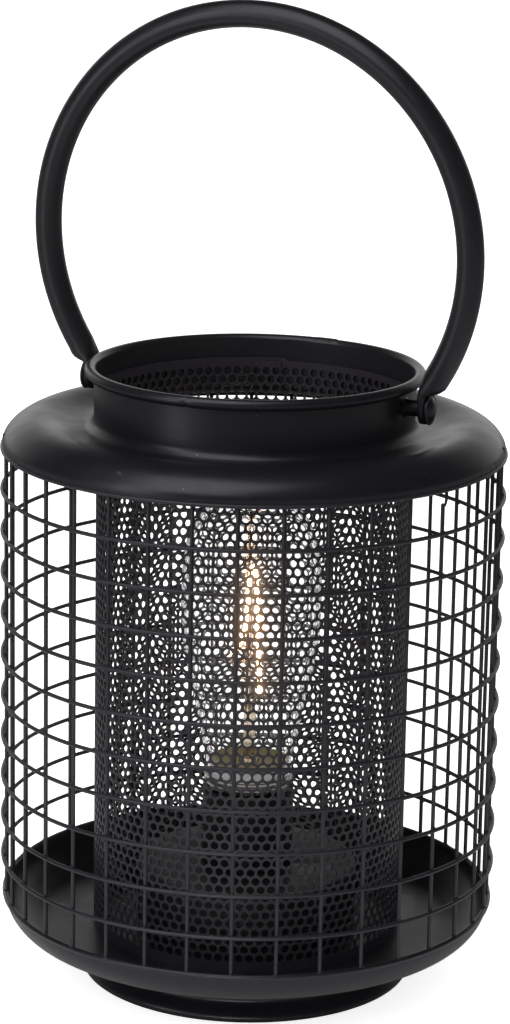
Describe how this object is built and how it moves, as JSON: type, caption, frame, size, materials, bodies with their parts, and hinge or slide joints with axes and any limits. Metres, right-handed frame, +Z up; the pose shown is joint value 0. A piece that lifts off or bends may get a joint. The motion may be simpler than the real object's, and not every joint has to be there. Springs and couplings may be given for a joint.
{
  "type": "lantern table lamp",
  "caption": "Black lantern table lamp: round wire cage over a perforated sleeve with a glowing filament bulb, dished tray and foot, shouldered cap and a tall hoop handle.",
  "frame": {"origin": "centre of the foot ring's underside, on the surface that the lamp stands on", "axes": "+Z up along the lamp's centre line, +X along the handle's pivot axis, and the handle leans towards -Y"},
  "size_m": [0.2234, 0.2234, 0.4376],
  "materials": {
    "black_coat": "satin black powder coat",
    "black_wire": "satin black powder coat on wire",
    "case_plastic": "fine matt grain",
    "holder_plastic": "matt",
    "switch_plastic": "smooth",
    "white_plastic": "smooth white",
    "screw_steel": "zinc plated",
    "contact_metal": "nickel plated",
    "bulb_wire": "drawn wire",
    "gold_metal": "bright gold",
    "clear_glass": "clear",
    "stem_glass": "clear, slightly smoky",
    "filament_glow": "soft silicone with a warm glow",
    "board_green": "solder mask",
    "chip_black": "moulded",
    "capacitor_sleeve": "shrink sleeve",
    "cell_jacket": "plain shrink sleeve",
    "red_insulation": "smooth",
    "black_insulation": "smooth"
  },
  "bodies": {
    "lamp": {"foot_ring": "black_coat", "tray": "black_coat", "cage_uprights": "black_wire", "cage_rings": "black_wire", "cap": "black_coat", "neck_rim": "black_coat", "perforated_sleeve": "black_coat", "pivot_bosses": "black_coat", "pivot_screws": "black_coat", "battery_case": "case_plastic", "case_base": "case_plastic", "case_screws": "screw_steel", "battery_cells": "cell_jacket", "contact_springs": "contact_metal", "contact_links": "contact_metal", "contact_ends": "contact_metal", "circuit_board": "board_green", "driver_chip": "chip_black", "board_capacitor": "capacitor_sleeve", "switch_body": "screw_steel", "red_leads": "red_insulation", "black_leads": "black_insulation", "lamp_holder": "holder_plastic", "holder_screws": "screw_steel", "bulb_core": "white_plastic", "gold_plate": "gold_metal", "bulb_glass": "clear_glass", "bulb_stem": "stem_glass", "filament_leads": "bulb_wire", "filament_hook": "bulb_wire", "led_filament": "filament_glow"},
    "bail": {"handle": "black_coat"},
    "door": {"battery_door": "case_plastic"},
    "slider": {"switch_slider": "switch_plastic"}
  },
  "joints": [
    {"name": "handle_pivot", "type": "hinge", "parent": "lamp", "child": "bail", "pos_m": [0, 0, 0.26635], "axis": [1, 0, 0], "range_deg": [-102.7, 95.9]},
    {"name": "door_slide", "type": "slide", "parent": "lamp", "child": "door", "axis": [-1, 0, 0], "range_m": [0, 0.01]},
    {"name": "switch_slide", "type": "slide", "parent": "lamp", "child": "slider", "axis": [1, 0, 0], "range_m": [0, 0.004]}
  ]
}
